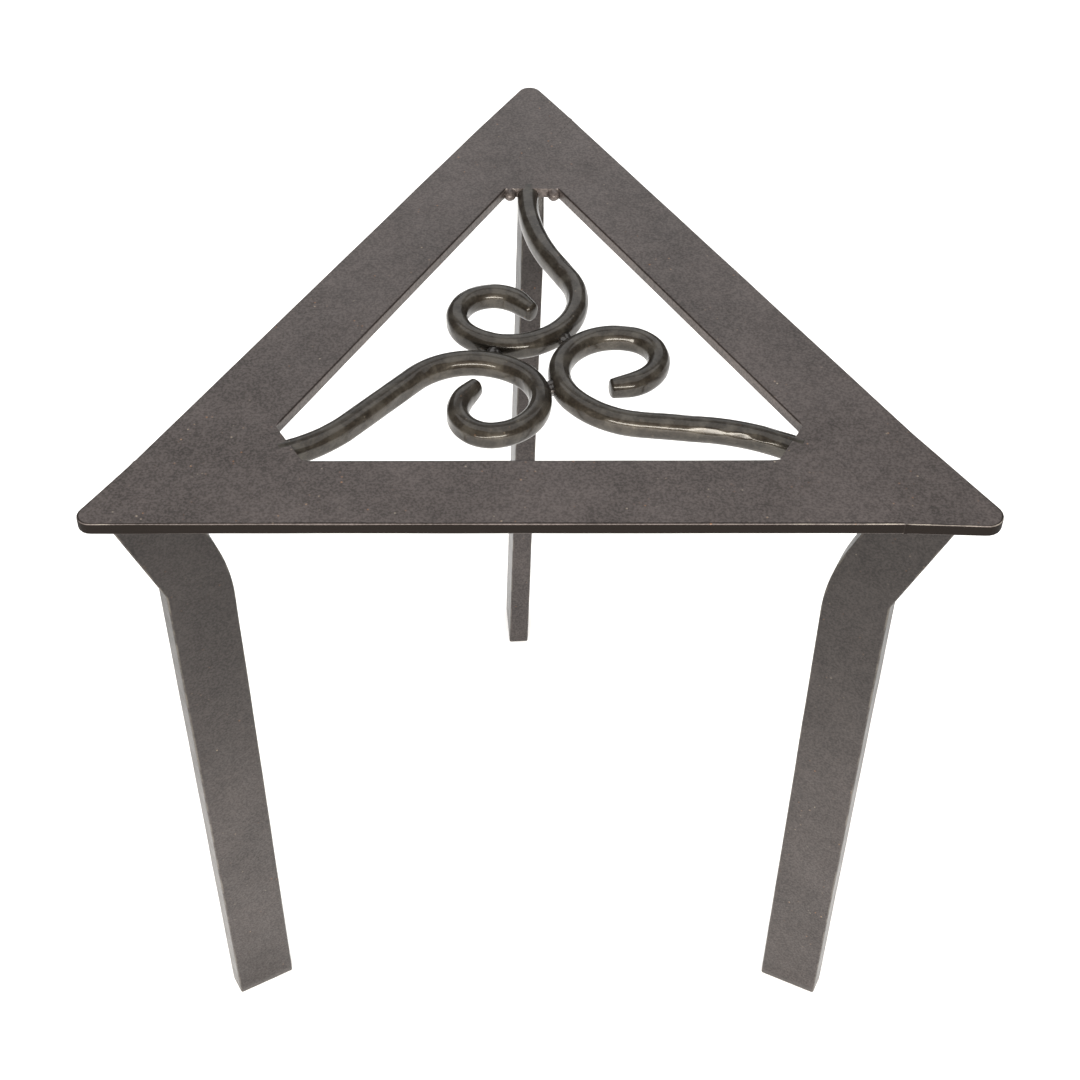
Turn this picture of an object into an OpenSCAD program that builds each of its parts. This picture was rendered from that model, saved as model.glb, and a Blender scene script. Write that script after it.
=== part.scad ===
// Three-legged wrought steel stand: a flat triangular top of three butted bars,
// three forged scrolls inside it and three flat-bar legs under its corners.
// Units are millimetres and +Z is up. The origin lies on the floor, under the
// middle of the top's bounding box. Corners are counted left, right, back.

/* [Top frame] */
// Side of the triangle, measured to its sharp corners
side = 320; // [310:5:330]
// Width of the flat bar of the top
bar_w = 32; // [30:1:34]
// Thickness of the flat bar of the top
bar_t = 5; // [4:0.5:6]
// Height of the top face above the floor
height = 314; // [300:1:330]
// Width of the ground-flush weld in each corner
weld_gap = 3; // [2:0.5:4]

/* [Legs] */
// Width of the flat bar of the legs
leg_w = 25.8; // [24:0.2:27]
// Thickness of the flat bar of the legs
leg_t = 10; // [8:0.5:11]
// Slant of the top of a leg from the vertical, in degrees
leg_slant = 20; // [17:1:22]
// Radius of the bend on the side of a leg that faces the middle
leg_bend_r = 95; // [80:5:150]
// Size of the weld beads round the top of a leg
leg_bead_r = 2.5; // [2:0.25:3.5]

/* [Scrolls] */
// Diameter of the round bar that the scrolls are forged from
rod_d = 10; // [9.6:0.1:10.4]
// Width of that bar after forging, seen from above
rod_w = 8.6; // [8:0.1:9]
// Height of that bar after forging
rod_h = 9.2; // [8.8:0.1:9.4]
// Length of the tapered tip of a scroll
tip_len = 7; // [5:0.5:8]
// Diameter of a scroll's tip at its cut end
tip_d = 6.4; // [5:0.2:7]
// Radius of the tack welds between the scrolls
tack_r = 4; // [3.5:0.25:4.5]
// Radius of the weld beads beside a scroll's tail
tail_bead_r = 3; // [2:0.25:3.2]

/* [Hidden] */
$fn = 64;
slack = 20;
// A collar joins two bends of a scroll: it is a hair larger than the bar
collar_len = 1.2;
collar_grow = 0.03;
collar_gap = 0.1;
// Round shapes that meet a straight edge run a hair past it
round_grow = 0.01;
steel = [0.33, 0.31, 0.31];
forged = [0.27, 0.26, 0.25];
weld = [0.42, 0.40, 0.38];

// Corner numbers and the direction of each corner from the middle
LEFT = 0;
RIGHT = 1;
BACK = 2;
corner_angle = [210, 330, 90];

// Plan geometry of the triangle
inner_tip_r = side / sqrt(3) - 2 * bar_w;
edge_r = side / sqrt(3) / 2;
under = height - bar_t;

// Each bar runs right through one corner and butts on the next bar at its far
// end: front bar LEFT to RIGHT, right bar RIGHT to BACK, left bar BACK to LEFT.
// In a bar's own frame its outer edge faces -Y and it runs through at -X.
bar_turn = [0, 120, 240];
butts_at = [RIGHT, BACK, LEFT];
// The bars were cut and ground by hand. At each corner: how far the sharp tip
// lies from the triangle's in the frame of the bar that runs through, the
// radius of the rounding, and how far the outer edge swells out at the weld.
tip_shift = [[-2.7, 0.3], [-3.9, -2.1], [1.6, 1.5]];
nose_r = [4.7, 6, 5];
weld_swell = [0.7, 0.5, 0];
// And how far each bar's outer edge swells out near its through end
edge_swell = [-0.3, 0, -0.4];
swell_x = -108;

// The legs were bent and set by hand, so each differs a little. A kink is
// [radius of its outer edge, depth under the top frame].
leg_kink = [[157.1, 43.5], [151.3, 52], [155, 47]];
leg_lean = [-0.6, 0.9, 0.6];
leg_turn = [-2, 3.5, 3.5];
leg_tilt = [0.3, -0.7, 0.6];
leg_shift = [-0.5, -1, -2.4];
// Radius at which a leg is turned about its own upright line
leg_turn_r = 128;

// So were the scrolls. A start is [radius, sideways shift, heading off the
// line to the middle], and a bend is [radius, degrees], positive to the left.
// A bend of radius 0 is a straight run of that many millimetres.
scroll_start = [[105, 0, -10], [105, -2, 3], [103.5, -1.5, -4]];
scroll_bends = [
    [[55, 28], [0, 34], [-29, 86], [-19, 136], [-12, 90], [-15, 42]],
    [[0, 6], [79, 20], [0, 24], [-36, 45], [-22, 145], [-13, 112], [-18, 36]],
    [[87, 31], [0, 12], [-28, 99], [-23, 61], [-14, 187]],
];
// Radius from the middle at which the weld that fills a corner ends
tail_weld_r = [103, 103, 102];
// Places of the tack welds in plan, and the directions that they bridge
tack_at = [[4.3, -17.3], [-16.8, 2], [11.2, 10.1]];
tack_across = [17, 76, -46];
// The pairs of scrolls that each tack joins
tack_pair = [[LEFT, RIGHT], [LEFT, BACK], [RIGHT, BACK]];

// The outline of a bar, point by point: its tip, its outer edge near that tip,
// the outer and inner ends of its butted end, and its inner edge's through end
function bar_tip(i) = tip_shift[i] - [side / 2, edge_r];
function swell_point(i) = [swell_x, -edge_r - edge_swell[i]];
function butt_outer(i, gap) = [side / 2 - (bar_w + gap - weld_swell[butts_at[i]] / 2) / sin(60),
    -edge_r - weld_swell[butts_at[i]]];
function butt_inner(i, gap) = [side / 2 - (1.5 * bar_w + gap) / sin(60), bar_w - edge_r];
function through_inner(i) = [(bar_w / 2 - weld_swell[i]) / sin(60) - side / 2, bar_w - edge_r];

// Headings of the two edges that meet in a bar's tip
function edge_heading(i) = heading(swell_point(i) - bar_tip(i));
function end_heading(i) = heading(through_inner(i) - bar_tip(i));
function heading(v) = atan2(v[1], v[0]);
function half_angle(i) = (end_heading(i) - edge_heading(i)) / 2;
function nose_heading(i) = (end_heading(i) + edge_heading(i)) / 2;

// Middle of a tip's rounding, in the frame of the whole triangle
function nose(i) = turned(bar_tip(i) + nose_r[i] / sin(half_angle(i))
    * [cos(nose_heading(i)), sin(nose_heading(i))], bar_turn[i]);
function turned(p, a) = [p[0] * cos(a) - p[1] * sin(a), p[0] * sin(a) + p[1] * cos(a)];

middle_x = -(nose(RIGHT)[0] + nose_r[RIGHT] + nose(LEFT)[0] - nose_r[LEFT]) / 2;
middle_y = -(nose(BACK)[1] + nose_r[BACK] + nose(RIGHT)[1] - nose_r[RIGHT]) / 2;

// Moves a shape from the triangle's own middle to the part's frame
module at_middle() {
    translate([middle_x, middle_y, 0]) children();
}

// Turns a shape whose +X points outward to one of the three corners
module at_corner(i) {
    at_middle() rotate([0, 0, corner_angle[i]]) children();
}

// Moves a plan shape from the frame of one bar to the part's, as part of the top
module as_plate(i) {
    at_middle() translate([0, 0, under]) rotate([0, 0, bar_turn[i]]) linear_extrude(bar_t) children();
}

// Plan of the piece that rounding takes off a bar's tip
module tip_cut(i) {
    h = half_angle(i);
    r = nose_r[i];
    translate(bar_tip(i)) rotate(nose_heading(i)) difference() {
        translate([-slack, -slack]) square([slack + r * cos(h) * cos(h) / sin(h), 2 * slack]);
        translate([r / sin(h), 0]) circle(r = r + round_grow);
    }
}

// One bar of the top, named by the corner that it runs through
module frame_bar(i) {
    color(steel) as_plate(i) difference() {
        polygon([bar_tip(i), swell_point(i), butt_outer(i, weld_gap), butt_inner(i, weld_gap),
            through_inner(i)]);
        tip_cut(i);
    }
}

// The weld at a bar's butted end is ground flush with both faces of the top
module corner_weld(i) {
    color(weld) as_plate(i) polygon([butt_outer(i, weld_gap), butt_outer(i, 0), butt_inner(i, 0),
        butt_inner(i, weld_gap)]);
}

// Side view of a leg: X is the distance from the middle and Y is the height.
// The outer side has a sharp kink and the inner side a long smooth bend.
module leg_profile(i) {
    lean = leg_lean[i];
    kink = [leg_kink[i][0], under - leg_kink[i][1]];
    up = [sin(leg_slant), cos(leg_slant)];
    down = [sin(lean), -cos(lean)];
    // Inner side: both straight lines lie leg_w inside the outer ones
    turn = leg_slant + lean;
    miter = kink - leg_w / cos(turn / 2) * [cos((leg_slant - lean) / 2), -sin((leg_slant - lean) / 2)];
    reach = leg_bend_r * tan(turn / 2);
    top_in = miter + reach * up;
    foot_in = miter + reach * down;
    hub = foot_in + leg_bend_r * [cos(lean), sin(lean)];
    top_len = (leg_kink[i][1] + slack) / cos(leg_slant);
    foot_len = (kink[1] + slack) / cos(lean);
    polygon([kink, kink + top_len * up, kink + top_len * up - leg_w * [up[1], -up[0]], top_in]);
    polygon([kink, foot_in, kink + foot_len * down - leg_w * [-down[1], down[0]],
        kink + foot_len * down]);
    intersection() {
        polygon([kink, top_in, miter, foot_in]);
        translate(hub) circle(r = leg_bend_r, $fn = 180);
    }
}

// Turns and tilts a shape with the leg of one corner
module at_leg(i) {
    at_corner(i) translate([leg_turn_r, leg_shift[i], under])
        rotate([leg_tilt[i], 0, leg_turn[i]]) translate([-leg_turn_r, 0, -under]) children();
}

// A slab of the part's own height range, for cutting shapes level
module level_slab(low, high) {
    translate([-side, -side, low]) cube([2 * side, 2 * side, high - low]);
}

module leg_solid(i) {
    intersection() {
        at_leg(i) rotate([90, 0, 0]) translate([0, 0, -leg_t / 2])
            linear_extrude(leg_t) leg_profile(i);
        level_slab(0, under);
    }
}

module leg(i) {
    color(steel) leg_solid(i);
}

// Beads of weld along both broad sides and the inner edge of a leg's top
module leg_weld(i) {
    outer_x = leg_kink[i][0] + leg_kink[i][1] * tan(leg_slant);
    inner_x = outer_x - leg_w / cos(leg_slant);
    run = outer_x - inner_x - 3 * leg_bead_r;
    half = leg_t / 2;
    color(weld) difference() {
        at_leg(i) translate([inner_x, 0, under]) {
            for (s = [-half, half]) translate([0, s, 0]) {
                rotate([0, 90, 0]) cylinder(r = leg_bead_r, h = run, $fn = 32);
                sphere(r = leg_bead_r, $fn = 32);
            }
            translate([0, -half, 0]) rotate([-90, 0, 0])
                cylinder(r = leg_bead_r, h = leg_t, $fn = 32);
        }
        leg_solid(i);
        level_slab(under, height + slack);
    }
}

// Cross-section of a scroll: round bar hammered flatter on all four sides
module rod_section(grow = 0) {
    intersection() {
        circle(r = rod_d / 2 + grow);
        square([rod_w + 2 * grow, rod_h + 2 * grow], center = true);
    }
}

// A straight length of bar along +X
module straight(len, grow = 0) {
    rotate([90, 0, 90]) linear_extrude(len) rod_section(grow);
}

// One bend of a scroll, starting at the origin and heading along +X. The amount
// is in degrees, or in millimetres for a straight run.
module bend(r, amount) {
    gap = r == 0 ? collar_gap : collar_gap / abs(r) * 180 / PI;
    if (r == 0) {
        translate([gap, 0, 0]) straight(amount - 2 * gap);
    } else if (r > 0) {
        translate([0, r, 0]) rotate([0, 0, gap - 90])
            rotate_extrude(angle = amount - 2 * gap, $fn = 160) translate([r, 0]) rod_section();
    } else {
        translate([0, r, 0]) rotate([0, 0, 90 - amount + gap])
            rotate_extrude(angle = amount - 2 * gap, $fn = 160) translate([-r, 0]) rod_section();
    }
}

// The tapered and square-cut end of a scroll
module tip() {
    intersection() {
        rotate([0, 90, 0]) cylinder(d1 = rod_d, d2 = tip_d, h = tip_len);
        translate([collar_gap, -rod_w / 2, -rod_h / 2]) cube([tip_len, rod_w, rod_h]);
    }
}

// Lays the bends of a scroll end to end, and then its tip
module run(bends, i = 0) {
    if (i == len(bends)) {
        tip();
    } else {
        r = bends[i][0];
        turn = r == 0 ? 0 : sign(r) * bends[i][1];
        ahead = r == 0 ? bends[i][1] : abs(r) * sin(bends[i][1]);
        bend(r, bends[i][1]);
        translate([ahead, r * (1 - cos(turn)), 0]) rotate([0, 0, turn]) {
            translate([-collar_len / 2, 0, 0]) straight(collar_len, collar_grow);
            run(bends, i + 1);
        }
    }
}

// A scroll lies with its top face flush with the top of the frame
module scroll_solid(i) {
    start = scroll_start[i];
    at_corner(i) translate([start[0], -start[1], height - rod_h / 2 - collar_grow])
        rotate([0, 0, 180 + start[2]]) run(scroll_bends[i]);
}

module scroll(i) {
    color(forged) scroll_solid(i);
}

// Weld metal that fills the corner of the window and holds a scroll's tail
module tail_weld(i) {
    near = tail_weld_r[i];
    half = (inner_tip_r - near) * tan(30);
    color(weld) difference() {
        at_corner(i) {
            translate([0, 0, under]) linear_extrude(bar_t)
                polygon([[near, -half], [inner_tip_r, 0], [near, half]]);
            for (s = [-1, 1]) translate([near, s * (half - tail_bead_r * 1.2), height - tail_bead_r])
                sphere(r = tail_bead_r, $fn = 32);
        }
        scroll_solid(i);
    }
}

// A lump of weld in the narrow gap between two scrolls
module tack_weld(i) {
    color(weld) difference() {
        at_middle() translate([tack_at[i][0], tack_at[i][1], height - rod_h / 2])
            rotate([0, 90, tack_across[i]]) sphere(r = tack_r);
        scroll_solid(tack_pair[i][0]);
        scroll_solid(tack_pair[i][1]);
    }
}

frame_bar(LEFT);  // front_bar
frame_bar(RIGHT);  // right_bar
frame_bar(BACK);  // left_bar
corner_weld(BACK);  // left_corner_weld
corner_weld(LEFT);  // right_corner_weld
corner_weld(RIGHT);  // back_corner_weld
leg(LEFT);  // left_leg
leg(RIGHT);  // right_leg
leg(BACK);  // back_leg
leg_weld(LEFT);  // left_leg_weld
leg_weld(RIGHT);  // right_leg_weld
leg_weld(BACK);  // back_leg_weld
scroll(LEFT);  // left_scroll
scroll(RIGHT);  // right_scroll
scroll(BACK);  // back_scroll
tail_weld(LEFT);  // left_tail_weld
tail_weld(RIGHT);  // right_tail_weld
tail_weld(BACK);  // back_tail_weld
tack_weld(0);  // front_tack_weld
tack_weld(1);  // left_tack_weld
tack_weld(2);  // right_tack_weld
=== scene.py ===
"""Looks of the three-legged steel stand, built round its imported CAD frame, in metres."""

import math
import random
from collections import namedtuple

import bmesh
import bpy
from mathutils import Matrix, Vector, noise


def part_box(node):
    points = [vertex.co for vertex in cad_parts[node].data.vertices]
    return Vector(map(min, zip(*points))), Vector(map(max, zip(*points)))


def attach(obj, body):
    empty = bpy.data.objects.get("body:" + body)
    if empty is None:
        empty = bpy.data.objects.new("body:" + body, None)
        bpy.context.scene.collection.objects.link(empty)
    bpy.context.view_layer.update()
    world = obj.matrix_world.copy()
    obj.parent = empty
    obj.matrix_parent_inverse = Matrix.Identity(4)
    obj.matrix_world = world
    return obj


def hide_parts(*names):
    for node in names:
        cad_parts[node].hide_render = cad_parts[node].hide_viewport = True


MM = 0.001
SIDES = ("left", "right", "back")
# Direction of each corner from the middle, in degrees
CORNER_ANGLE = {"left": 210, "right": 330, "back": 90}

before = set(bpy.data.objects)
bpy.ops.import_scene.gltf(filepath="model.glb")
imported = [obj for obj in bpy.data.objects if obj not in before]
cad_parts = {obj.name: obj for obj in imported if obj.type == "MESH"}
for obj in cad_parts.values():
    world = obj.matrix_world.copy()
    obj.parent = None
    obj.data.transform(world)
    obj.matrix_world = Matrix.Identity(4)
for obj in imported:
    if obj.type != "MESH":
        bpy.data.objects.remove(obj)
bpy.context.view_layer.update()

# The top frame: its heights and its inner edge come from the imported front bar
SIDE = 320 * MM
BAR_W = 32 * MM
WELD_GAP = 3 * MM
# A bar's sharp inner corner is cut back by this much, and a corner weld laps as far
# over the bars on both sides of it
END_CUT = 0.4 * MM
front_low, front_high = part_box("front_bar")
TOP = front_high.z
UNDER = front_low.z
BAR_T = TOP - UNDER
EDGE_R = SIDE / math.sqrt(3) / 2
INNER_TIP_R = 2 * EDGE_R - 2 * BAR_W
SIN_60 = math.sin(math.radians(60))
# Each bar runs through one corner and butts on the next bar. By the corner that
# it runs through: its turn from the front bar, and where its far end butts
BAR_TURN = {"left": 0, "right": 120, "back": 240}
BUTTS_AT = {"left": "right", "right": "back", "back": "left"}
# At each corner, as the ends were cut by hand, in mm: the shift of the sharp tip, the
# rounding's radius and the swell at the weld. Then each bar's own edge swell, and
# how far along the bar it lies
TIP_SHIFT = {"left": (-2.7, 0.3), "right": (-3.9, -2.1), "back": (1.6, 1.5)}
NOSE_R = {"left": 4.7, "right": 6, "back": 5}
WELD_SWELL = {"left": 0.7, "right": 0.5, "back": 0}
EDGE_SWELL = {"left": -0.3, "right": 0, "back": -0.4}
SWELL_X = -108

# Named places on a bar's plan, in the bar's own frame
Outline = namedtuple("Outline", "tip swell through butt_outer butt_inner nose")


def bar_outline(side):
    """The corners of a bar's plan, outer edge facing -Y, and the middle of its nose."""
    end = SIDE / 2
    butt = WELD_SWELL[BUTTS_AT[side]] * MM
    shift = TIP_SHIFT[side]
    tip = Vector((shift[0] * MM - end, shift[1] * MM - EDGE_R))
    swell = Vector((SWELL_X * MM, -EDGE_R - EDGE_SWELL[side] * MM))
    through = Vector(((BAR_W / 2 - WELD_SWELL[side] * MM) / SIN_60 - end, BAR_W - EDGE_R))
    butt_outer = Vector((end - (BAR_W - butt / 2) / SIN_60, -EDGE_R - butt))
    butt_inner = Vector((end - 1.5 * BAR_W / SIN_60, BAR_W - EDGE_R))
    first = (swell - tip).normalized()
    second = (through - tip).normalized()
    nose_way = (first + second).normalized()
    nose = tip + nose_way * NOSE_R[side] * MM / math.sin(first.angle(second) / 2)
    return Outline(tip, swell, through, butt_outer, butt_inner, nose)


def nose_edge(side, axis, way):
    """How far a rounded corner reaches along X or Y from the triangle's middle."""
    nose = bar_outline(side).nose.to_3d()
    nose.rotate(Matrix.Rotation(math.radians(BAR_TURN[side]), 3, "Z"))
    return nose[axis] + way * NOSE_R[side] * MM


# The triangle's middle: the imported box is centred, and the bar's inner edge gives Y
middle_x = -(nose_edge("left", 0, -1) + nose_edge("right", 0, 1)) / 2
MIDDLE = Vector((middle_x, front_high.y + EDGE_R - BAR_W, 0))

# The legs: the outer kink's radius and its depth under the top in mm, the lean, and
# how each leg was set by hand: turn and tilt in degrees, shift in mm
LEG_W = 25.8 * MM
LEG_T = 10 * MM
LEG_SLANT = math.radians(20)
LEG_BEND_R = 95 * MM
# Radius at which a leg is turned about its own upright line
LEG_TURN_R = 128 * MM
LEGS = {
    "left": {"kink": (157.1, 43.5), "lean": -0.6, "turn": -2, "tilt": 0.3, "shift": -0.5},
    "right": {"kink": (151.3, 52), "lean": 0.9, "turn": 3.5, "tilt": -0.7, "shift": -1},
    "back": {"kink": (155, 47), "lean": 0.6, "turn": 3.5, "tilt": 0.6, "shift": -2.4},
}

# The scrolls, in mm and degrees: where the bar starts (radius, shift, heading off the
# line to the middle), then each bend as (radius, degrees), positive to the left. A
# bend of radius 0 is a straight run of that many millimetres
ROD_W = 8.6 * MM
ROD_H = 9.2 * MM
TIP_LEN = 7 * MM
# Share of the bar's width that is left at the tip, and the tail's length in the weld
TIP_SHARE = 0.66
TAIL_IN_WEB = 2 * MM
SCROLLS = {
    "left": {
        "start": (105, 0, -10),
        "bends": ((55, 28), (0, 34), (-29, 86), (-19, 136), (-12, 90), (-15, 42)),
    },
    "right": {
        "start": (105, -2, 3),
        "bends": ((0, 6), (79, 20), (0, 24), (-36, 45), (-22, 145), (-13, 112), (-18, 36)),
    },
    "back": {
        "start": (103.5, -1.5, -4),
        "bends": ((87, 31), (0, 12), (-28, 99), (-23, 61), (-14, 187)),
    },
}
# Radius from the middle at which the weld that fills a window's corner ends
WEB_R = {"left": 103 * MM, "right": 103 * MM, "back": 102 * MM}
# Tack welds between the scrolls: the place in plan in mm, and the turn in degrees
TACKS = {
    "front": ((4.3, -17.3), 17),
    "left": ((-16.8, 2), 76),
    "right": ((11.2, 10.1), -46),
}


def at_corner(side):
    """Moves a shape from one corner's own frame, +X outward, to the stand's."""
    return Matrix.Translation(MIDDLE) @ Matrix.Rotation(math.radians(CORNER_ANGLE[side]), 4, "Z")


def sag(point, amount, size):
    """How far a hand-worked surface lies below flat at a point: 0 to amount."""
    return amount * (0.5 + 0.5 * noise.noise(Vector(point) / size))


# ---------------------------------------------------------------- materials

RUST = (0.26, 0.12, 0.05)
PALE_SPECK = (0.30, 0.26, 0.21)
BARE_STEEL = (0.42, 0.39, 0.33)
# Share of the dark tone that is left where the mesh's painted shade is deepest
PAINTED_SHADE_SHARE = 0.28


class Nodes:
    """Short calls for a material's node tree."""

    def __init__(self, name):
        self.material = bpy.data.materials.new(name)
        self.material.use_nodes = True
        self.tree = self.material.node_tree
        self.shader = self.tree.nodes["Principled BSDF"]
        place = self.tree.nodes.new("ShaderNodeTexCoord")
        self.place = place.outputs["Object"]

    def link(self, source, target):
        self.tree.links.new(source, target)

    def noise(self, scale, detail=4, rough=0.55):
        node = self.tree.nodes.new("ShaderNodeTexNoise")
        node.inputs["Scale"].default_value = scale
        node.inputs["Detail"].default_value = detail
        node.inputs["Roughness"].default_value = rough
        self.link(self.place, node.inputs["Vector"])
        return node.outputs["Fac"]

    def cells(self, scale):
        """Distance to the nearest of many scattered points."""
        node = self.tree.nodes.new("ShaderNodeTexVoronoi")
        node.inputs["Scale"].default_value = scale
        self.link(self.place, node.inputs["Vector"])
        return node.outputs["Distance"]

    def span(self, value, low, high, to_low=0.0, to_high=1.0):
        """A smooth step from one value to another while the input goes from low to high."""
        node = self.tree.nodes.new("ShaderNodeMapRange")
        node.interpolation_type = "SMOOTHSTEP"
        node.inputs["From Min"].default_value = low
        node.inputs["From Max"].default_value = high
        node.inputs["To Min"].default_value = to_low
        node.inputs["To Max"].default_value = to_high
        self.link(value, node.inputs["Value"])
        return node.outputs["Result"]

    def math(self, kind, first, second):
        node = self.tree.nodes.new("ShaderNodeMath")
        node.operation = kind
        for socket, value in zip(node.inputs, (first, second)):
            if isinstance(value, (int, float)):
                socket.default_value = value
            else:
                self.link(value, socket)
        return node.outputs["Value"]

    def mix(self, share, first, second):
        node = self.tree.nodes.new("ShaderNodeMix")
        node.data_type = "RGBA"
        for key, value in (("Factor", share), ("A", first), ("B", second)):
            socket = [s for s in node.inputs if s.name == key and s.enabled][0]
            if isinstance(value, tuple):
                socket.default_value = (*value, 1)
            elif isinstance(value, (int, float)):
                socket.default_value = value
            else:
                self.link(value, socket)
        return [s for s in node.outputs if s.enabled][0]

    def upward(self):
        """Height above the floor: every piece is built in the stand's own frame."""
        node = self.tree.nodes.new("ShaderNodeSeparateXYZ")
        self.link(self.place, node.inputs["Vector"])
        return node.outputs["Z"]

    def attribute(self, name):
        node = self.tree.nodes.new("ShaderNodeAttribute")
        node.attribute_name = name
        return node.outputs["Fac"]

    def bump(self, height, distance, normal=None):
        node = self.tree.nodes.new("ShaderNodeBump")
        node.inputs["Strength"].default_value = 1
        node.inputs["Distance"].default_value = distance
        self.link(height, node.inputs["Height"])
        if normal:
            self.link(normal, node.inputs["Normal"])
        return node.outputs["Normal"]


def steel(name, dark, light, rough, coat, grain, specks, worn, shade=None):
    """Dark waxed steel: soft blotches, fine grain, a few specks and bright worn arrises.

    dark and light are its two tones, coat is (weight, roughness) of the wax, grain is
    the pitting's depth in mm, and specks and worn say how much of each there is.
    shade lists (height, share of light) from low to high: painted shade, as the top
    plate casts on the legs, darkening the metal and its coat toward the top.
    """
    n = Nodes(name)
    blotch = n.span(n.noise(28, detail=5, rough=0.6), 0.34, 0.66)
    mottle = n.span(n.noise(210, detail=6, rough=0.68), 0.32, 0.68)
    fine = n.span(n.noise(1100, detail=3), 0.36, 0.64)
    tone = n.math("ADD", n.math("MULTIPLY", blotch, 0.25), n.math("MULTIPLY", mottle, 0.2))
    tone = n.math("ADD", tone, n.math("MULTIPLY", fine, 0.55))
    colour = n.mix(tone, dark, light)
    # Rust-coloured and pale specks, thinned out so that they come in groups
    dot = n.span(n.cells(330), 0.06, 0.18, 1, 0)
    group = n.span(n.noise(90, detail=3), 0.5, 0.68, 0, specks)
    speck = n.math("MULTIPLY", dot, group)
    rusty = n.mix(n.span(n.noise(400), 0.45, 0.55), RUST, PALE_SPECK)
    colour = n.mix(speck, colour, rusty)
    shine, coat_rough = coat
    # Painted shade of the top plate: darker colour and less coat toward the top
    if shade:
        (low, low_share), (high, high_share) = shade
        share = n.span(n.upward(), low, high, 1 - low_share, 1 - high_share)
        colour = n.mix(share, colour, (0, 0, 0))
        shine = n.math("MULTIPLY", n.math("SUBTRACT", 1, share), shine)
    # The mesh's tone: worn arrises (+) show bare metal in patches, (-) is painted shade
    patch = n.span(n.noise(160, detail=4), 0.42, 0.62, 0.15, 1)
    tone_here = n.attribute("tone")
    rubbed = n.math("MAXIMUM", tone_here, 0)
    painted_edge_shade = n.math("MAXIMUM", n.math("MULTIPLY", tone_here, -1), 0)
    wear = n.math("MULTIPLY", n.math("MULTIPLY", rubbed, patch), worn)
    colour = n.mix(wear, colour, BARE_STEEL)
    # Painted shade darkens the colour to a share of the dark tone
    colour = n.mix(painted_edge_shade, colour, tuple(PAINTED_SHADE_SHARE * c for c in dark))
    n.link(colour, n.shader.inputs["Base Color"])
    uneven = n.span(n.noise(75, detail=4), 0.3, 0.7, rough - 0.05, rough + 0.07)
    rough_here = n.math("SUBTRACT", uneven, n.math("MULTIPLY", wear, 0.15))
    n.link(rough_here, n.shader.inputs["Roughness"])
    # Painted shade also dims the coat and the specular
    open_share = n.math("SUBTRACT", 1, painted_edge_shade)
    n.link(n.math("MULTIPLY", open_share, shine), n.shader.inputs["Coat Weight"])
    n.link(n.math("MULTIPLY", open_share, 0.15), n.shader.inputs["Specular IOR Level"])
    shallow = n.bump(n.noise(120, detail=3), 0.14 * MM)
    pitted = n.bump(n.noise(900, detail=4, rough=0.65), grain * MM, shallow)
    pits = n.bump(n.span(n.cells(140), 0.03, 0.10), 0.05 * MM, pitted)
    n.link(pits, n.shader.inputs["Normal"])
    n.shader.inputs["Metallic"].default_value = 0.4
    n.shader.inputs["Coat Roughness"].default_value = coat_rough
    n.shader.inputs["Coat IOR"].default_value = 1.5
    return n.material


PLATE = steel(
    "waxed_plate",
    dark=(0.030, 0.025, 0.023),
    light=(0.092, 0.077, 0.073),
    rough=0.50,
    coat=(0.3, 0.25),
    grain=0.09,
    specks=0.7,
    worn=1.0,
)
LEG = steel(
    "waxed_leg",
    dark=(0.016, 0.012, 0.012),
    light=(0.080, 0.068, 0.067),
    rough=0.50,
    coat=(0.7, 0.2),
    grain=0.12,
    specks=0.9,
    worn=0.5,
    # Painted shade under the top plate, darker toward the leg's top
    shade=((0.06, 0.52), (0.30, 0.22)),
)
FORGED = steel(
    "forged_bar",
    dark=(0.007, 0.005, 0.003),
    light=(0.022, 0.017, 0.012),
    rough=0.42,
    coat=(0.45, 0.11),
    grain=0.05,
    specks=0.25,
    worn=0.3,
)
WELD = steel(
    "weld_metal",
    dark=(0.012, 0.010, 0.009),
    light=(0.036, 0.031, 0.028),
    rough=0.30,
    coat=(0.7, 0.15),
    grain=0.05,
    specks=0.3,
    worn=0.5,
)


# ---------------------------------------------------------------- mesh tools


def finish_piece(bm, name, node, material, sharp=35):
    """Turns a bmesh into the piece that stands for one CAD node."""
    bmesh.ops.recalc_face_normals(bm, faces=bm.faces)
    mesh = bpy.data.meshes.new(name)
    bm.to_mesh(mesh)
    bm.free()
    mesh.shade_smooth()
    mesh.set_sharp_from_angle(angle=math.radians(sharp))
    mesh.materials.append(material)
    piece = bpy.data.objects.new(name, mesh)
    bpy.context.scene.collection.objects.link(piece)
    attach(piece, "root")
    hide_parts(node)


def skin(bm, rings, marks):
    """Joins closed rings of points into a solid, and stores each point's tone."""
    tone = bm.verts.layers.float.new("tone")
    loops = []
    for ring, mark in zip(rings, marks):
        loop = []
        for point, value in zip(ring, mark):
            vert = bm.verts.new(point)
            vert[tone] = value
            loop.append(vert)
        loops.append(loop)
    count = len(loops[0])
    for low, high in zip(loops, loops[1:]):
        for k in range(count):
            follow = (k + 1) % count
            bm.faces.new((low[k], low[follow], high[follow], high[k]))
    bm.faces.new(list(reversed(loops[0])))
    bm.faces.new(loops[-1])


def spaced(low, high, cuts, support):
    """Places between two ends, with one more close to each end."""
    inner = [low + (high - low) * k / cuts for k in range(1, cuts)]
    step = math.copysign(min(support, abs(high - low) / cuts / 2), high - low)
    return [low + step, *inner, high - step]


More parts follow.
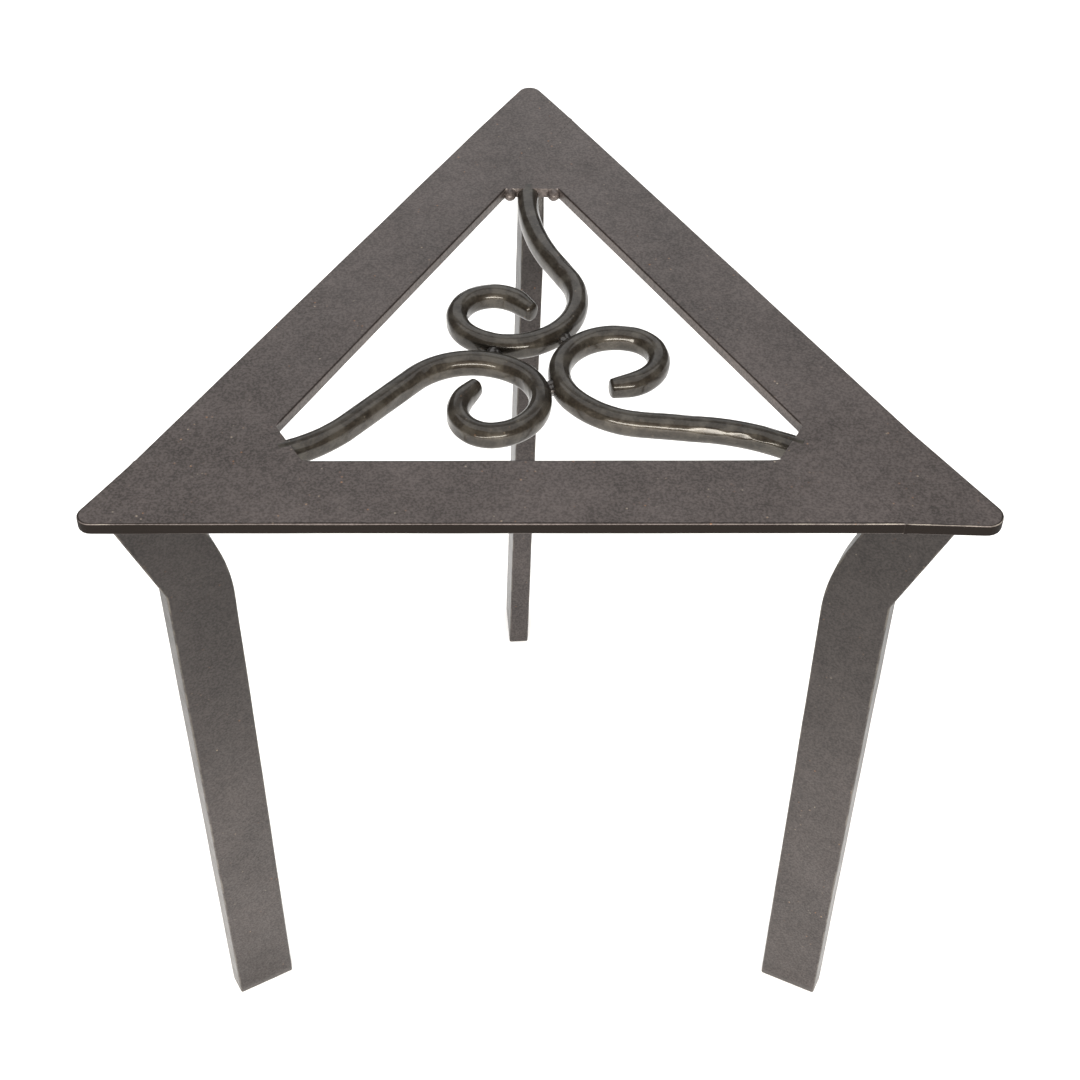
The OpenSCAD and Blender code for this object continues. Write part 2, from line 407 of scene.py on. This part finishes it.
def bar_section(width, depth, arris, skew, wide_cuts, thin_cuts):
    """Section of a flat bar as (across, through, outward normal, zone).

    A zone is (side across, side upward, 0 to 1 over an arris), and its sides are -1,
    0 or 1. arris is the arris radius at the low and the high end across, and skew is
    how much each end's arris is stretched because the bar's edge runs aslant there.
    """
    corner_cuts = 4
    points = []
    for quarter in range(4):
        end = 1 if quarter in (0, 3) else 0
        side_x = 1 if end else -1
        side_y = 1 if quarter in (0, 1) else -1
        r = arris[end]
        across = r * skew[end]
        for k in range(corner_cuts + 1):
            a = math.radians(90 * (quarter + k / corner_cuts))
            x = side_x * (width / 2 - across) + across * math.cos(a)
            y = side_y * (depth / 2 - r) + r * math.sin(a)
            worn = 1 - abs(2 * k / corner_cuts - 1)
            points.append((x, y, (math.cos(a), math.sin(a)), (side_x, side_y, worn)))
        other = 0 if end else 1
        if quarter in (0, 2):
            start = side_x * (width / 2 - across)
            stop = -side_x * (width / 2 - arris[other] * skew[other])
            for x in spaced(start, stop, wide_cuts, 0.5 * MM):
                points.append((x, side_y * depth / 2, (0, side_y), (0, side_y, 0)))
        else:
            start = side_y * (depth / 2 - r)
            for y in spaced(start, -start, thin_cuts, 0.4 * MM):
                points.append((side_x * width / 2, y, (side_x, 0), (side_x, 0, 0)))
    return points


def ruled_bar(bm, inner, outer, through, depth, arris_at, cuts, dent, tone, turned, inset=None):
    """A flat bar between two edge lines, inner and outer, with rounded arrises.

    dent(point) says how far the surface lies below flat, and tone(side across,
    side upward, share of arris, point) how worn (+) it is, or how dark with painted
    shade (-). inset lists, for each station, how far its section is drawn in, which
    rounds a free end.
    """
    rings, marks = [], []
    last = len(inner) - 1
    for k, (low, high) in enumerate(zip(inner, outer)):
        across = (high - low).normalized()
        before, after = max(k - 1, 0), min(k + 1, last)
        skew = []
        for line in (inner, outer):
            along = (line[after] - line[before]).normalized()
            skew.append(1 / max(along.cross(across).length, 0.4))
        drawn = inset[k] if inset else 0
        width = (high - low).length - 2 * drawn
        radii = [min(r, (depth - 2 * drawn) / 2.2) for r in arris_at(k / last)]
        middle = (low + high) / 2
        ring, mark = [], []
        for x, y, normal, zone in bar_section(width, depth - 2 * drawn, radii, skew, *cuts):
            point = middle + across * x + through * y
            outward = across * normal[0] + through * normal[1]
            point = point - outward * dent(point)
            ring.append(turned @ point)
            mark.append(tone(*zone, point))
        rings.append(ring)
        marks.append(mark)
    skin(bm, rings, marks)


def along_line(points, count):
    """Evenly spaced places on a line of points."""
    lengths = [0]
    for a, b in zip(points, points[1:]):
        lengths.append(lengths[-1] + (b - a).length)
    places, k = [], 0
    for j in range(count + 1):
        wanted = lengths[-1] * j / count
        while k < len(points) - 2 and lengths[k + 1] < wanted:
            k += 1
        share = (wanted - lengths[k]) / (lengths[k + 1] - lengths[k])
        places.append(points[k].lerp(points[k + 1], min(max(share, 0), 1)))
    return places


# ---------------------------------------------------------------- top frame


def plate_dent(point):
    """The flat bar's own unevenness, the same in every piece of the top."""
    return sag(point, 0.10 * MM, 34 * MM) + sag(point, 0.02 * MM, 5 * MM)


def at_mid_plate(point):
    """Lifts a place in plan to half the top's thickness."""
    return Vector((point.x, point.y, (TOP + UNDER) / 2))


def bar_seat(side):
    """Moves a bar from its own frame to the stand's."""
    return Matrix.Translation(MIDDLE) @ Matrix.Rotation(math.radians(BAR_TURN[side]), 4, "Z")


def edge_tone(placed, upward, worn):
    """Tone of the top's outer edge: painted shade in front, but for its rubbed arris at the right.

    placed is a place from the triangle's middle. The left tip is rubbed too.
    """
    front_line = -80 * MM
    if placed.y > front_line:
        return 0.05 * worn
    rubbed = 0.5 + 0.5 * noise.noise(placed / (9 * MM))
    right_start, right_fade = 50 * MM, 50 * MM
    at_right = max(0, min(1, (placed.x - right_start) / right_fade))
    left_tip = Vector((-0.151, -0.091, TOP))
    at_left = max(0, 1 - (placed - left_tip).length / (7 * MM))
    lit = (0.15 + 1.1 * at_right) * rubbed if upward > 0 else 0
    # The front's flat faces, and its arrises in part, get painted shade (-)
    return worn * (lit + 0.8 * at_left) - (1 - worn)


def frame_bar(name, node, side):
    """A bar of the top: it runs through one corner, with a rounded tip, and is cut to butt."""
    plan = bar_outline(side)
    r = NOSE_R[side] * MM
    ahead = (plan.butt_inner - plan.through).normalized()
    gap = ahead * WELD_GAP / SIN_60
    end_way = (plan.tip - plan.through).normalized()
    arm = (plan.tip - plan.nose).normalized()
    half_arc = math.acos(r / (plan.tip - plan.nose).length)
    outer = [plan.through + end_way * END_CUT]
    arc_cuts = 16
    for k in range(arc_cuts + 1):
        turn = Matrix.Rotation(half_arc * (2 * k / arc_cuts - 1), 2)
        outer.append(plan.nose + turn @ arm * r)
    outer += [plan.swell, plan.butt_outer - gap]
    stations = 200
    outer = along_line([at_mid_plate(p) for p in outer], stations)
    inner = [at_mid_plate(plan.through + ahead * END_CUT), at_mid_plate(plan.butt_inner - gap)]
    inner = along_line(inner, stations)
    # Half the length of the window's edge that the corners' welds leave free
    web = (INNER_TIP_R - max(WEB_R.values())) / SIN_60
    window = SIDE / 2 - 1.5 * BAR_W / SIN_60 - web

    def arris_at(share):
        # The window's arris dies out where the weld fills the corners
        x = inner[round(share * stations)].x
        free = min(max((window - abs(x)) / (3 * MM), 0), 1)
        edge = 0.55 + 0.25 * noise.noise(Vector((share * 9, BAR_TURN[side], 0)))
        return (0.05 + 0.7 * free) * MM, min(edge, 0.1 + share * 60) * MM

    seat = bar_seat(side)

    def dent(point):
        return plate_dent(seat @ point)

    def tone(across, upward, worn, point):
        if across > 0:
            return edge_tone(seat @ point - MIDDLE, upward, worn)
        # A dark line of painted shade along the window's arrises
        return 0.9 * across * worn

    bm = bmesh.new()
    ruled_bar(bm, inner, outer, Vector((0, 0, 1)), BAR_T, arris_at, (16, 4), dent, tone, seat)
    finish_piece(bm, name, node, PLATE)


def corner_weld(name, node, side):
    """The weld at a bar's butted end, ground flush."""
    plan = bar_outline(side)
    stations = 6
    inner, outer = [], []
    for k in range(stations + 1):
        back = Vector((-WELD_GAP / SIN_60 * (1 - k / stations), 0))
        # It laps a hair over the bars, whose ends have small arrises of their own
        back.x += END_CUT * (2 * k / stations - 1)
        inner.append(at_mid_plate(plan.butt_inner + back))
        outer.append(at_mid_plate(plan.butt_outer + back))
    seat = bar_seat(side)

    def dent(point):
        return plate_dent(seat @ point)

    def arris_at(share):
        return 0.1 * MM, 0.55 * MM

    def tone(across, upward, worn, point):
        return edge_tone(seat @ point - MIDDLE, upward, worn) if across > 0 else 0

    bm = bmesh.new()
    ruled_bar(bm, inner, outer, Vector((0, 0, 1)), BAR_T, arris_at, (30, 4), dent, tone, seat)
    finish_piece(bm, name, node, PLATE)


# ---------------------------------------------------------------- legs


def leg_frame(side):
    """Moves a leg from its own upright plane, X outward and Z up, to the stand."""
    own = LEGS[side]
    turn = Matrix.Rotation(math.radians(own["turn"]), 4, "Z")
    tilt = Matrix.Rotation(math.radians(own["tilt"]), 4, "X")
    there = Matrix.Translation((LEG_TURN_R, own["shift"] * MM, UNDER))
    back = Matrix.Translation((-LEG_TURN_R, 0, -UNDER))
    return at_corner(side) @ there @ (turn @ tilt) @ back


def leg_lines(side):
    """The inner and the outer edge line of a leg, from the foot up, station by station."""
    own = LEGS[side]
    lean = math.radians(own["lean"])
    kink = Vector((own["kink"][0] * MM, 0, UNDER - own["kink"][1] * MM))
    up = Vector((math.sin(LEG_SLANT), 0, math.cos(LEG_SLANT)))
    down = Vector((math.sin(lean), 0, -math.cos(lean)))
    turn = LEG_SLANT + lean
    mid = (LEG_SLANT - lean) / 2
    miter = kink - LEG_W / math.cos(turn / 2) * Vector((math.cos(mid), 0, -math.sin(mid)))
    reach = LEG_BEND_R * math.tan(turn / 2)
    foot_in = miter + reach * down
    top_in = miter + reach * up
    hub = foot_in + LEG_BEND_R * Vector((math.cos(lean), 0, math.sin(lean)))
    over = 0.1 * MM

    def level(point, way, height):
        return point + way * ((height - point.z) / way.z)

    # The outer side turns within a short rounded kink, a quadratic curve
    fold = 9 * MM
    soft = 1.6 * MM
    curve_cuts = 8
    kink_line = [kink + fold * down]
    for k in range(curve_cuts + 1):
        t = k / curve_cuts
        start, stop = kink + soft * down, kink + soft * up
        kink_line.append((1 - t) ** 2 * start + 2 * t * (1 - t) * kink + t**2 * stop)
    kink_line.append(kink + fold * up)
    shank_cuts, bend_cuts, top_cuts = 60, 40, 14
    outer = along_line([level(kink, down, -over), kink + fold * down], shank_cuts)[:-1]
    outer += along_line(kink_line, bend_cuts)[:-1]
    outer += along_line([kink + fold * up, level(kink, up, UNDER + over)], top_cuts)
    inner = along_line([level(foot_in, down, -over), foot_in], shank_cuts)[:-1]
    for k in range(bend_cuts):
        inner.append(hub + Matrix.Rotation(turn * k / bend_cuts, 3, "Y") @ (foot_in - hub))
    inner += along_line([top_in, level(top_in, up, UNDER + over)], top_cuts)
    return inner, outer


def leg(name, node, side):
    """A flat-bar leg on edge, cut off level at the floor and under the top."""
    inner, outer = leg_lines(side)
    seat = leg_frame(side)
    edge = 0.9 * MM
    # The foot's cut end has a small rounded arris, as (height, how far drawn in)
    foot_r = 0.8 * edge
    foot_cuts = 4
    foot = []
    for k in range(foot_cuts):
        a = math.radians(90 * (1 - k / foot_cuts))
        foot.append((foot_r * (1 - math.sin(a)), foot_r * (1 - math.cos(a))))
    rise_in = (inner[1] - inner[0]).normalized()
    rise_out = (outer[1] - outer[0]).normalized()
    inner = [inner[0] + rise_in * high for high, drawn in foot] + inner[1:]
    outer = [outer[0] + rise_out * high for high, drawn in foot] + outer[1:]
    inset = [drawn for high, drawn in foot] + [0] * (len(inner) - len(foot))

    def arris_at(share):
        return edge, edge

    def dent(point):
        placed = seat @ point
        return sag(placed, 0.22 * MM, 30 * MM) + sag(placed, 0.05 * MM, 7 * MM)

    def tone(across, upward, worn, point):
        return 0.25 * worn

    bm = bmesh.new()
    through = Vector((0, 1, 0))
    ruled_bar(bm, inner, outer, through, LEG_T, arris_at, (12, 5), dent, tone, seat, inset)
    for vert in bm.verts:
        vert.co.z = min(max(vert.co.z, 0), UNDER)
    finish_piece(bm, name, node, LEG)


# ---------------------------------------------------------------- round work


def sweep(bm, path, section, tone):
    """Sweeps section(k, share) along a path of (place, heading in plan), in one tone."""
    rings, marks = [], []
    last = len(path) - 1
    for k, (place, heading) in enumerate(path):
        side = Vector((-math.sin(heading), math.cos(heading), 0))
        ring = [place + side * y + Vector((0, 0, z)) for y, z in section(k, k / last)]
        rings.append(ring)
        marks.append([tone] * len(ring))
    skin(bm, rings, marks)


def scroll_path(side, step):
    """The centre-line of a scroll, from its tail in the web to its tip."""
    own = SCROLLS[side]
    start_r, shift, off = own["start"]
    heading = math.radians(CORNER_ANGLE[side] + 180 + off)
    place = at_corner(side) @ Vector((start_r * MM, -shift * MM, TOP - ROD_H / 2))
    ahead = Vector((math.cos(heading), math.sin(heading), 0))
    place = place - ahead * TAIL_IN_WEB
    path = [(place.copy(), heading)]
    bends = [(0, TAIL_IN_WEB / MM), *own["bends"], (0, TIP_LEN / MM)]
    for radius, amount in bends:
        length = amount * MM if radius == 0 else abs(radius) * MM * math.radians(amount)
        cuts = max(2, round(length / step))
        turn = 0 if radius == 0 else math.copysign(math.radians(amount), radius) / cuts
        for _ in range(cuts):
            heading += turn / 2
            chord = length / cuts
            place = place + chord * Vector((math.cos(heading), math.sin(heading), 0))
            heading += turn / 2
            path.append((place.copy(), heading))
    return path


def hammered_flats(length, seed):
    """Hammer marks along a bar: each one's place, way it faces, half length and depth."""
    chance = random.Random(seed)
    facing = (25, 40, 60, 120, 140, 155, 0, 180)
    flats = []
    at = 10 * MM
    while at < length:
        way = math.radians(chance.choice(facing))
        half = chance.uniform(4, 8) * MM
        deep = chance.uniform(0.10, 0.34) * MM
        flats.append({"at": at, "way": way, "half": half, "deep": deep})
        at += chance.uniform(3, 8) * MM
    return flats


def scroll(name, node, side, seed):
    """A forged scroll: rounded-square bar with hammered flats and a tapered tip."""
    step = 0.6 * MM
    path = scroll_path(side, step)
    length = step * (len(path) - 1)
    flats = hammered_flats(length, seed)
    around = 56
    # The cut end has a small rounded arris
    blunt = 0.8 * MM

    def section(k, share):
        here = k * step
        to_end = length - here
        taper = 1 - (1 - TIP_SHARE) * max(0, 1 - to_end / (1.6 * TIP_LEN)) ** 1.5
        # Power of the rounded square: 2 would be an ellipse
        square = 2.7 - 0.3 * share
        wide = ROD_W / 2 * taper
        tall = ROD_H / 2 * (1 - 0.5 * (1 - taper))
        shrink = 1 if to_end > blunt else 1 - 0.18 * (1 - to_end / blunt) ** 2
        points = []
        for j in range(around):
            a = 2 * math.pi * (j + 0.5) / around
            c, s = math.cos(a), math.sin(a)
            y = math.copysign(abs(c) ** (2 / square), c) * wide
            z = math.copysign(abs(s) ** (2 / square), s) * tall
            for flat in flats:
                away = (here - flat["at"]) / flat["half"]
                if abs(away) >= 1:
                    continue
                ny, nz = math.cos(flat["way"]), math.sin(flat["way"])
                edge = ((abs(ny) * wide) ** 1.6 + (abs(nz) * tall) ** 1.6) ** (1 / 1.6)
                limit = edge - flat["deep"] * (1 - away**2)
                extra = y * ny + z * nz - limit
                if extra > 0:
                    y -= ny * extra
                    z -= nz * extra
            place = path[k][0]
            dent = sag((place.x + y, place.y + z, place.z + z), 0.10 * MM, 4 * MM)
            y -= math.copysign(dent, y)
            points.append((y * shrink, z * shrink))
        return points

    bm = bmesh.new()
    sweep(bm, path, section, 0.2)
    flush = TOP - 0.01 * MM
    for vert in bm.verts:
        vert.co.z = min(vert.co.z, flush - sag(vert.co, 0.06 * MM, 12 * MM))
    finish_piece(bm, name, node, FORGED, 50)


# ---------------------------------------------------------------- weld metal


def ellipsoid(bm, place, radii, turn=0.0):
    """Adds a ball, stretched and turned about the upright line."""
    turned = Matrix.Translation(place) @ Matrix.Rotation(turn, 4, "Z")
    matrix = turned @ Matrix.Diagonal((*radii, 1))
    bmesh.ops.create_icosphere(bm, subdivisions=3, radius=1, matrix=matrix)


def slab(bm, plan, low, high):
    """Adds a flat solid with that outline."""
    bottom = [bm.verts.new((p.x, p.y, low)) for p in plan]
    top = [bm.verts.new((p.x, p.y, high)) for p in plan]
    bm.faces.new(list(reversed(bottom)))
    bm.faces.new(top)
    for k in range(len(plan)):
        follow = (k + 1) % len(plan)
        bm.faces.new((bottom[k], bottom[follow], top[follow], top[k]))


def melted(bm, voxel, smooth_rounds):
    """Fuses overlapping solids into one skin with soft joins, as weld metal has."""
    bmesh.ops.recalc_face_normals(bm, faces=bm.faces)
    mesh = bpy.data.meshes.new("melt")
    bm.to_mesh(mesh)
    bm.free()
    carrier = bpy.data.objects.new("melt", mesh)
    bpy.context.scene.collection.objects.link(carrier)
    remesh = carrier.modifiers.new("fuse", "REMESH")
    remesh.mode = "VOXEL"
    remesh.voxel_size = voxel
    bpy.context.view_layer.update()
    graph = bpy.context.evaluated_depsgraph_get()
    fused = bpy.data.meshes.new_from_object(carrier.evaluated_get(graph))
    bpy.data.objects.remove(carrier)
    bpy.data.meshes.remove(mesh)
    result = bmesh.new()
    result.from_mesh(fused)
    bpy.data.meshes.remove(fused)
    every_axis = {"use_axis_x": True, "use_axis_y": True, "use_axis_z": True}
    for _ in range(smooth_rounds):
        bmesh.ops.smooth_vert(result, verts=result.verts, factor=0.5, **every_axis)
    return result


def rippled(bm, amount, size):
    """Gives weld metal its uneven surface, always inward."""
    bm.normal_update()
    moves = [(vert, vert.normal * sag(vert.co, amount, size)) for vert in bm.verts]
    for vert, move in moves:
        vert.co -= move


def tail_weld(name, node, side, lumps):
    """The weld that fills a corner of the window and holds a scroll's tail.

    lumps lists (distance outward, sideways, radius, depth of its middle), in mm.
    """
    corner = at_corner(side)
    near = WEB_R[side]
    slope = math.tan(math.radians(30))
    lap = 0.6 * MM
    half = (INNER_TIP_R - near) * slope + lap
    plan = [(near, -half), (INNER_TIP_R, -lap), (INNER_TIP_R, lap), (near, half)]
    bm = bmesh.new()
    slab(bm, [corner @ Vector((x, y, 0)) for x, y in plan], UNDER + 0.3 * MM, TOP + 0.8 * MM)
    for x, y, radius, low in lumps:
        centre = corner @ Vector((near + x * MM, y * MM, TOP - low * MM))
        ellipsoid(bm, centre, (radius * MM,) * 3)
    bm = melted(bm, 0.33 * MM, 2)
    rippled(bm, 0.25 * MM, 1.6 * MM)
    for vert in bm.verts:
        flush = TOP - 0.02 * MM - plate_dent(vert.co)
        vert.co.z = min(vert.co.z, flush)
    finish_piece(bm, name, node, PLATE, 60)


def tack_weld(name, node, key):
    """A lump of weld in the narrow gap between two scrolls."""
    (x, y), way = TACKS[key]
    turn = math.radians(way)
    centre = MIDDLE + Vector((x * MM, y * MM, TOP - ROD_H / 2))
    along = Vector((math.cos(turn), math.sin(turn), 0))
    across = Vector((-along.y, along.x, 0))
    bm = bmesh.new()
    ellipsoid(bm, centre, (3.4 * MM, 2.9 * MM, 3.6 * MM), turn)
    # A smaller lump on each side of it, one higher and one lower
    for aside, rise in ((-1.4, 0.6), (1.4, -0.4)):
        lump = centre + across * aside * MM + Vector((0, 0, rise * MM))
        ellipsoid(bm, lump, (2.4 * MM,) * 3)
    bm = melted(bm, 0.25 * MM, 2)
    rippled(bm, 0.5 * MM, 1.3 * MM)
    finish_piece(bm, name, node, WELD, 60)


def leg_weld(name, node, side):
    """Rippled beads along both broad sides and the inner edge of a leg's top."""
    kink_r, kink_depth = LEGS[side]["kink"]
    outer_x = (kink_r + kink_depth * math.tan(LEG_SLANT)) * MM
    inner_x = outer_x - LEG_W / math.cos(LEG_SLANT)
    bead = 2.3 * MM
    seat = leg_frame(side)
    start_x = outer_x - 3 * bead
    half = LEG_T / 2
    route = [(start_x, half), (inner_x, half), (inner_x, -half), (start_x, -half)]
    bm = bmesh.new()
    ripple = 1.3 * MM
    for first, last in zip(route, route[1:]):
        a, b = Vector((*first, UNDER)), Vector((*last, UNDER))
        count = max(2, round((b - a).length / ripple))
        way = math.atan2(b.y - a.y, b.x - a.x)
        for k in range(count + 1):
            size = bead * (0.9 + 0.1 * math.sin(2.1 * k))
            ellipsoid(bm, a.lerp(b, k / count), (ripple * 1.3, size, size * 0.95), way)
    bm = melted(bm, 0.3 * MM, 1)
    for vert in bm.verts:
        vert.co.z = min(vert.co.z, UNDER + 0.4 * MM)
    bmesh.ops.transform(bm, matrix=seat, verts=bm.verts)
    finish_piece(bm, name, node, WELD, 60)


# ---------------------------------------------------------------- the pieces

# Each bar by its node's name and the corner that it runs through
for name, side in (("front", "left"), ("right", "right"), ("left", "back")):
    frame_bar(f"top_{name}_bar", f"{name}_bar", side)
    corner_weld(f"ground_{BUTTS_AT[side]}_weld", f"{BUTTS_AT[side]}_corner_weld", side)
for side in SIDES:
    leg(f"forged_{side}_leg", f"{side}_leg", side)
    leg_weld(f"{side}_leg_beads", f"{side}_leg_weld", side)
for seed, side in enumerate(SIDES, start=3):
    scroll(f"forged_{side}_scroll", f"{side}_scroll", side, seed)
for key in ("front", "left", "right"):
    tack_weld(f"{key}_tack", f"{key}_tack_weld", key)
tail_weld("left_tail_web", "left_tail_weld", "left", ((1, 9, 1.8, 1.9), (1.5, -8.5, 1.8, 2.2)))
tail_weld("right_tail_web", "right_tail_weld", "right", ((1.5, -11, 1.7, 2.0), (1.5, 11, 1.7, 2.2)))
tail_weld("back_tail_web", "back_tail_weld", "back", ((-0.5, 9, 2.6, 2.9), (-0.5, -9, 2.6, 2.9)))


# ---------------------------------------------------------------- the studio


def area_light(name, place, target, size, power, colour=(1, 1, 1)):
    """A rectangular light that faces a target, with its power in watts."""
    data = bpy.data.lights.new(name, "AREA")
    data.shape = "RECTANGLE"
    data.size, data.size_y = size
    data.energy = power
    data.color = colour
    light = bpy.data.objects.new(name, data)
    light.location = place
    light.rotation_euler = (Vector(target) - Vector(place)).to_track_quat("-Z", "Y").to_euler()
    bpy.context.scene.collection.objects.link(light)
    return data


def studio():
    """A plain pale floor, a white room and three soft lights."""
    floor_mesh = bpy.data.meshes.new("floor")
    reach = 6
    corners = [(-reach, -reach, 0), (reach, -reach, 0), (reach, reach, 0), (-reach, reach, 0)]
    floor_mesh.from_pydata(corners, [], [(0, 1, 2, 3)])
    paint = bpy.data.materials.new("pale_floor")
    paint.use_nodes = True
    shader = paint.node_tree.nodes["Principled BSDF"]
    shader.inputs["Base Color"].default_value = (0.9, 0.9, 0.9, 1)
    shader.inputs["Roughness"].default_value = 0.9
    shader.inputs["Specular IOR Level"].default_value = 0.1
    floor_mesh.materials.append(paint)
    floor = bpy.data.objects.new("floor", floor_mesh)
    bpy.context.scene.collection.objects.link(floor)

    world = bpy.data.worlds.new("studio")
    world.use_nodes = True
    tree = world.node_tree
    tree.nodes["Background"].inputs["Color"].default_value = (1, 1, 1, 1)
    # A white room, which the glossy metal mirrors as a dim one
    path = tree.nodes.new("ShaderNodeLightPath")
    strength = tree.nodes.new("ShaderNodeMapRange")
    strength.inputs["To Min"].default_value = 0.82
    strength.inputs["To Max"].default_value = 0.15
    tree.links.new(path.outputs["Is Glossy Ray"], strength.inputs["Value"])
    tree.links.new(strength.outputs["Result"], tree.nodes["Background"].inputs["Strength"])
    bpy.context.scene.world = world

    middle = (0, 0, 0.2)
    overhead = area_light("overhead", (0, 0.2, 2.2), middle, (2.4, 2.4), 32)
    overhead.specular_factor = 0.4
    area_light("back_panel", (0, 2.2, 1.7), middle, (1.8, 0.9), 9)
    front = area_light("front_band", (-0.1, -1.7, 0.55), middle, (2.0, 0.5), 100, (1, 0.94, 0.85))
    front.diffuse_factor = 0.05


def camera():
    """Looks down at the stand from in front, with the back corner uppermost."""
    data = bpy.data.cameras.new("camera")
    data.lens = 64.56
    data.sensor_width = 36
    seen_from = bpy.data.objects.new("camera", data)
    heading = Matrix.Rotation(math.radians(-2.54), 4, "Z")
    pitch = Matrix.Rotation(math.radians(44.51), 4, "X")
    roll = Matrix.Rotation(math.radians(1.65), 4, "Z")
    place = Matrix.Translation(MIDDLE + Vector((-0.0218, -0.5574, 0.7797)))
    seen_from.matrix_world = place @ heading @ pitch @ roll
    bpy.context.scene.collection.objects.link(seen_from)
    bpy.context.scene.camera = seen_from


studio()
camera()
bpy.context.scene.view_settings.view_transform = "Standard"
